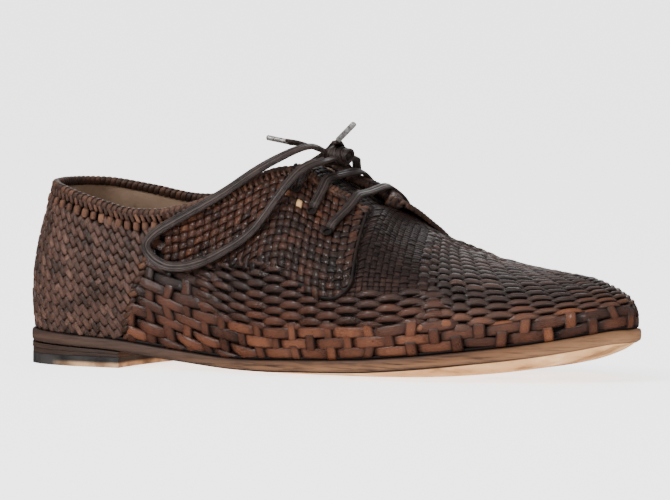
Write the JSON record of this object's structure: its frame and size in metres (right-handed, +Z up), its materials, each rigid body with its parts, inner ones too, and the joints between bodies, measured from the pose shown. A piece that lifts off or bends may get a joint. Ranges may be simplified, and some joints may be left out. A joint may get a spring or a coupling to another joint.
{
  "type": "woven leather derby shoe",
  "caption": "Low open-laced derby shoe for the right foot, its upper woven of brown leather strips, on a thin leather sole with a low heel, tied in a bow.",
  "frame": {"origin": "on the floor under the middle of the shoe's box, the knot, loops, ends and tips of the lace left out", "axes": "+X from heel to toe, +Y to the inner side of the foot, +Z up"},
  "size_m": [0.296, 0.1038, 0.1108],
  "materials": {
    "woven_leather": "woven strips, waxed, worn",
    "quarter_leather": "fine woven strips, glossy",
    "collar_leather": "braided strips, satin",
    "sole_leather": "burnished edge, worn",
    "top_piece_rubber": "matte",
    "insole_leather": "matte",
    "waxed_lace": "waxed, ribbed",
    "lace_tip_metal": "satin"
  },
  "bodies": {
    "root": {"outsole": "sole_leather", "heel_lift": "sole_leather", "top_piece": "top_piece_rubber", "insole": "insole_leather", "upper": "woven_leather", "quarter_lateral": "quarter_leather", "quarter_medial": "quarter_leather", "collar_band": "collar_leather", "tongue": "woven_leather", "lace_bar_top": "waxed_lace", "lace_bar_middle": "waxed_lace", "lace_bar_low": "waxed_lace", "lace_knot": "waxed_lace", "lace_loop_lateral": "waxed_lace", "lace_loop_medial": "waxed_lace", "lace_end_back": "waxed_lace", "lace_end_front": "waxed_lace", "lace_tip_back": "lace_tip_metal", "lace_tip_front": "lace_tip_metal"}
  },
  "joints": []
}
